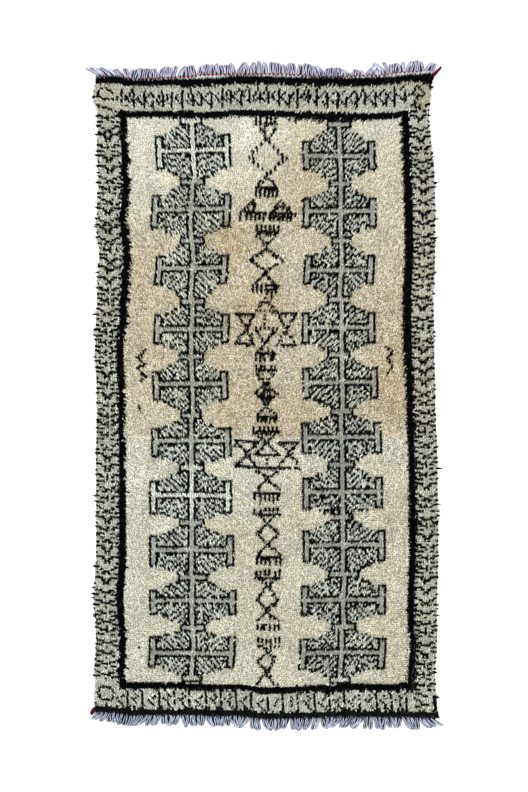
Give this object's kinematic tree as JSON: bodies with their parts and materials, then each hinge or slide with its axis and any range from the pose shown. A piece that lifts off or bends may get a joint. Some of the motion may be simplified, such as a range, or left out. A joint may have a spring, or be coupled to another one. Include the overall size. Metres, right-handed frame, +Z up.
{
  "type": "beni ourain rug",
  "caption": "Hand-knotted shaggy wool rug lying flat, long and narrow, cream with black cross motifs inside a framed border, with a short white fringe at each end.",
  "frame": {"origin": "on the floor, under the middle of the rug's outline, fringes included", "axes": "+Y along the rug's length towards the end with the red twined stitches, +X across it, +Z up out of the pile"},
  "size_m": [1.5648, 2.9574, 0.0207],
  "materials": {
    "cream_wool": "undyed cream wool pile, matt, shaggy",
    "black_wool": "black wool pile, matt, shaggy",
    "warp_yarn": "white twisted warp yarn, matt",
    "red_yarn": "crimson dyed wool yarn, matt"
  },
  "bodies": {
    "root": {"pile_rug": "cream_wool", "fringe_top": "warp_yarn", "fringe_bottom": "warp_yarn"}
  },
  "joints": []
}
